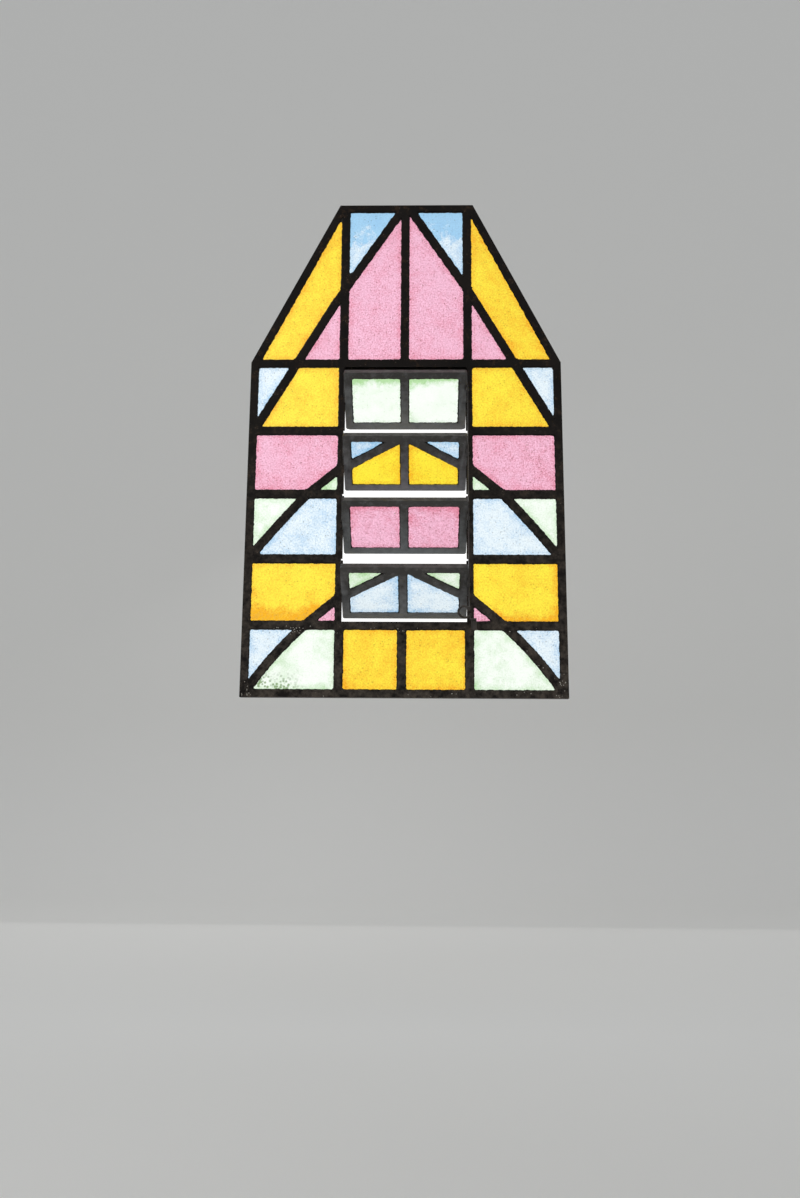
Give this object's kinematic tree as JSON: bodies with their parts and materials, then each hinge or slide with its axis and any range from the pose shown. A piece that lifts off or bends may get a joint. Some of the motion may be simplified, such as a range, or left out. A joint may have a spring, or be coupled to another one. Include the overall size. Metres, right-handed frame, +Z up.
{
  "type": "stained glass window",
  "caption": "Welded steel window of coloured textured panes with a gabled head, and a central column of tilting vents ganged by an operating bar and lever.",
  "frame": {"origin": "middle of the sill's underside, where the window is bedded in its wall", "axes": "+X right seen from the room, +Y outdoors, +Z up"},
  "size_m": [0.948, 0.1691, 1.557],
  "materials": {
    "frame_paint": "worn near-black brush paint on rolled steel sections, dusty",
    "vent_paint": "worn dark grey-brown brush paint on small steel angles, dusty",
    "gear_steel": "thinly painted steel flat bar and bent rod, worn bright on its edges",
    "glass_yellow": "yellow stippled cathedral glass, dusty",
    "glass_pink": "pink stippled cathedral glass, dusty",
    "glass_blue": "pale blue stippled cathedral glass, dusty",
    "glass_green": "pale green stippled cathedral glass, dusty"
  },
  "bodies": {
    "frame_body": {"frame": "frame_paint", "pane_gable_shoulder_left": "glass_yellow", "pane_gable_haunch_left": "glass_pink", "pane_row1_corner_left": "glass_blue", "pane_row1_main_left": "glass_yellow", "pane_row2_main_left": "glass_pink", "pane_row2_corner_left": "glass_green", "pane_row3_corner_left": "glass_green", "pane_row3_main_left": "glass_blue", "pane_row4_main_left": "glass_yellow", "pane_row4_corner_left": "glass_pink", "pane_row5_corner_left": "glass_blue", "pane_row5_main_left": "glass_green", "pane_head_left": "glass_blue", "pane_peak_left": "glass_pink", "pane_base_left": "glass_yellow", "pane_gable_shoulder_right": "glass_yellow", "pane_gable_haunch_right": "glass_pink", "pane_row1_corner_right": "glass_blue", "pane_row1_main_right": "glass_yellow", "pane_row2_main_right": "glass_pink", "pane_row2_corner_right": "glass_green", "pane_row3_corner_right": "glass_green", "pane_row3_main_right": "glass_blue", "pane_row4_main_right": "glass_yellow", "pane_row4_corner_right": "glass_pink", "pane_row5_corner_right": "glass_blue", "pane_row5_main_right": "glass_green", "pane_head_right": "glass_blue", "pane_peak_right": "glass_pink", "pane_base_right": "glass_yellow"},
    "vent_1_body": {"vent_1": "vent_paint", "pane_vent1_left": "glass_green", "pane_vent1_right": "glass_green"},
    "vent_2_body": {"vent_2": "vent_paint", "pane_vent2_corner_left": "glass_blue", "pane_vent2_main_left": "glass_yellow", "pane_vent2_corner_right": "glass_blue", "pane_vent2_main_right": "glass_yellow"},
    "vent_3_body": {"vent_3": "vent_paint", "pane_vent3_left": "glass_pink", "pane_vent3_right": "glass_pink"},
    "vent_4_body": {"vent_4": "vent_paint", "pane_vent4_corner_left": "glass_green", "pane_vent4_main_left": "glass_blue", "pane_vent4_corner_right": "glass_green", "pane_vent4_main_right": "glass_blue"},
    "bar_body": {"operating_bar": "gear_steel"},
    "lever_body": {"lever": "gear_steel"}
  },
  "joints": [
    {"name": "vent_1_pivot", "type": "hinge", "parent": "frame_body", "child": "vent_1_body", "pos_m": [0, 0.0003, 0.91], "axis": [1, 0, 0], "range_deg": [-49, 20]},
    {"name": "vent_2_pivot", "type": "hinge", "parent": "frame_body", "child": "vent_2_body", "pos_m": [0, 0.0003, 0.711], "axis": [1, 0, 0], "range_deg": [-49, 20]},
    {"name": "vent_3_pivot", "type": "hinge", "parent": "frame_body", "child": "vent_3_body", "pos_m": [0, 0.0003, 0.512], "axis": [1, 0, 0], "range_deg": [-49, 20]},
    {"name": "vent_4_pivot", "type": "hinge", "parent": "frame_body", "child": "vent_4_body", "pos_m": [0, 0.0003, 0.313], "axis": [1, 0, 0], "range_deg": [-49, 20]},
    {"name": "bar_link", "type": "hinge", "parent": "vent_1_body", "child": "bar_body", "pos_m": [0.1876, -0.04941, 0.92141], "axis": [1, 0, 0], "range_deg": [-20, 49]},
    {"name": "lever_pivot", "type": "hinge", "parent": "frame_body", "child": "lever_body", "pos_m": [0.1921, -0.0245, 0.238], "axis": [1, 0, 0], "range_deg": [-49, 20]}
  ],
  "couplings": [
    {"joint": "vent_2_pivot", "follows": "vent_1_pivot", "ratio": 1},
    {"joint": "vent_3_pivot", "follows": "vent_1_pivot", "ratio": 1},
    {"joint": "vent_4_pivot", "follows": "vent_1_pivot", "ratio": 1},
    {"joint": "bar_link", "follows": "vent_1_pivot", "ratio": -1},
    {"joint": "lever_pivot", "follows": "vent_1_pivot", "ratio": 1}
  ]
}
